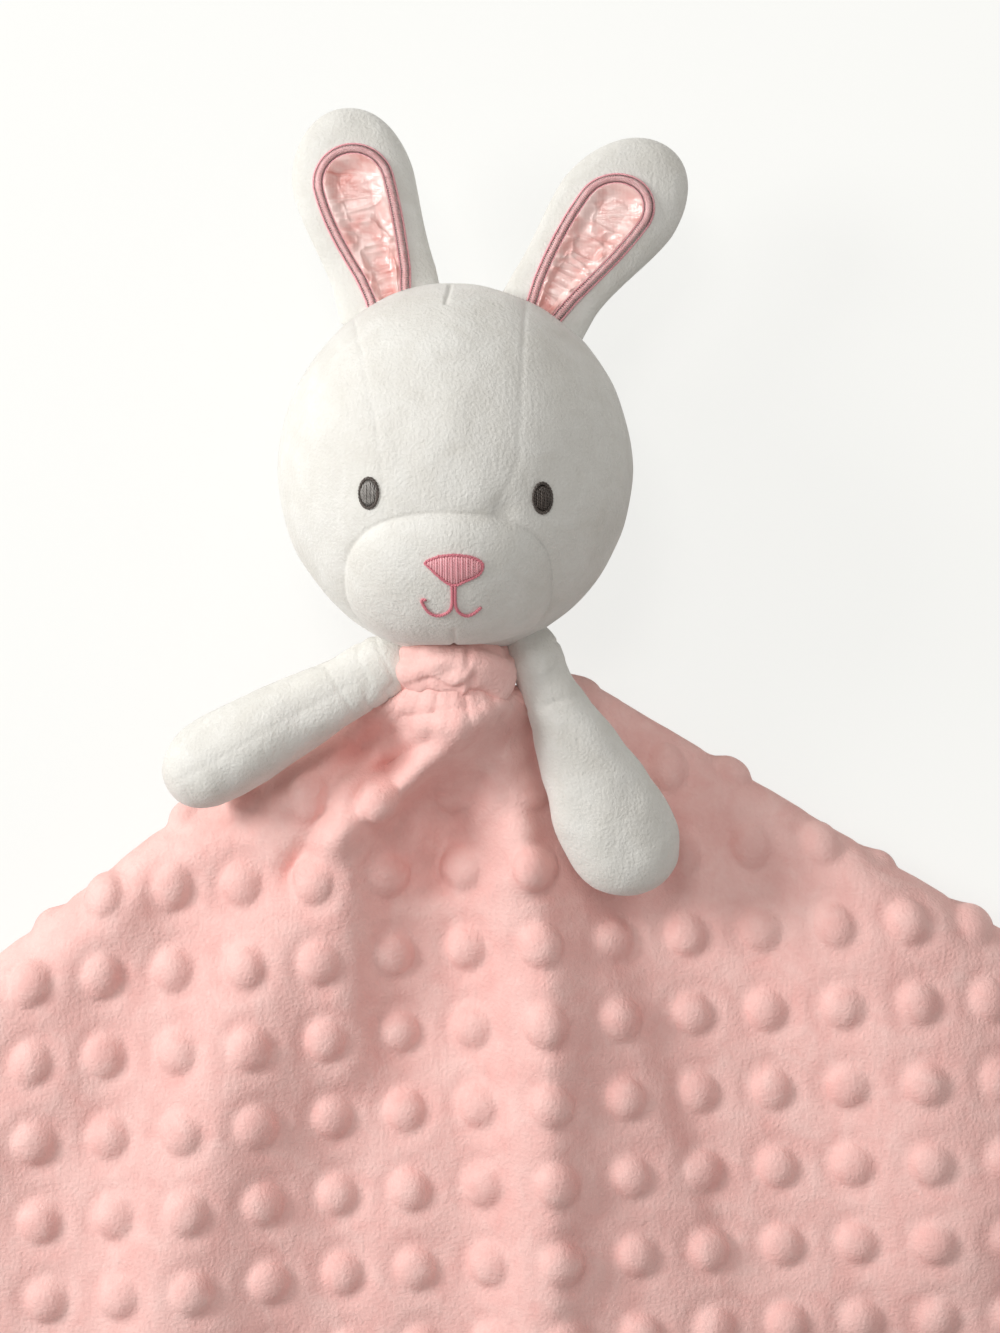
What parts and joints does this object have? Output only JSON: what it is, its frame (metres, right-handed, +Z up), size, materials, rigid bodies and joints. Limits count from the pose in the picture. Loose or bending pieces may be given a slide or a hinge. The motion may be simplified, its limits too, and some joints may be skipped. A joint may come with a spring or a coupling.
{
  "type": "comfort blanket lovey",
  "caption": "Plush bunny head with satin-lined ears and two arms on a gathered pink minky-dot blanket, lying on its back",
  "frame": {"origin": "on the surface that the toy lies on, under the middle of the whole toy", "axes": "+X to the viewer's right, +Y from the hem to the ear tips, +Z up, out of the face"},
  "size_m": [0.3917, 0.3502, 0.0821],
  "materials": {
    "plush": "short white velour plush",
    "fibre": "white polyester fibre filling",
    "minky": "pale pink minky with raised round dots",
    "lining": "smooth pale pink lining",
    "satin": "glossy crinkled pink satin",
    "pink_thread": "pink embroidery thread in satin stitch",
    "dark_thread": "dark grey-brown embroidery thread"
  },
  "bodies": {
    "blanket": {"blanket_minky": "minky", "blanket_lining": "lining", "hem_stitching": "pink_thread", "neck_collar": "minky", "gathering_thread": "pink_thread"},
    "neck": {"neck_stuffing": "fibre"},
    "head": {"head_stuffing": "fibre", "forehead_panel": "plush", "face_panel_left": "plush", "face_panel_right": "plush", "muzzle_panel": "plush", "head_back_left": "plush", "head_back_right": "plush", "eye_left": "dark_thread", "eye_right": "dark_thread", "nose_embroidery": "pink_thread", "mouth_embroidery": "pink_thread"},
    "ear_left": {"ear_left_front_skin": "plush", "ear_left_back_skin": "plush", "ear_left_wadding": "fibre", "ear_left_satin": "satin", "ear_left_border": "pink_thread"},
    "ear_right": {"ear_right_front_skin": "plush", "ear_right_back_skin": "plush", "ear_right_wadding": "fibre", "ear_right_satin": "satin", "ear_right_border": "pink_thread"},
    "arm_left": {"arm_left_front_skin": "plush", "arm_left_back_skin": "plush", "arm_left_stuffing": "fibre"},
    "arm_right": {"arm_right_front_skin": "plush", "arm_right_back_skin": "plush", "arm_right_stuffing": "fibre"}
  },
  "joints": [
    {"name": "head_nod", "type": "hinge", "parent": "blanket", "child": "neck", "pos_m": [-0.0114, 0.0353, 0.0517], "axis": [1, 0, 0], "range_deg": [0, 45]},
    {"name": "head_turn", "type": "hinge", "parent": "neck", "child": "head", "pos_m": [-0.0114, 0.0353, 0.0407], "axis": [0, 1, 0], "range_deg": [-35, 35], "stiffness_Nm_per_rad": 0.02},
    {"name": "ear_left_flop", "type": "hinge", "parent": "head", "child": "ear_left", "pos_m": [-0.02916, 0.13168, 0.039], "axis": [0.9774, 0.2113, 0], "range_deg": [-25, 60], "stiffness_Nm_per_rad": 0.01},
    {"name": "ear_right_flop", "type": "hinge", "parent": "head", "child": "ear_right", "pos_m": [0.01341, 0.12748, 0.039], "axis": [0.8771, -0.4802, 0], "range_deg": [-25, 60], "stiffness_Nm_per_rad": 0.01},
    {"name": "arm_left_lift", "type": "hinge", "parent": "blanket", "child": "arm_left", "pos_m": [-0.0333, 0.032, 0.0385], "axis": [-0.4879, 0.8729, 0], "range_deg": [0, 60]},
    {"name": "arm_right_lift", "type": "hinge", "parent": "blanket", "child": "arm_right", "pos_m": [0.0105, 0.032, 0.0385], "axis": [-0.9157, -0.4019, 0], "range_deg": [0, 60]}
  ]
}
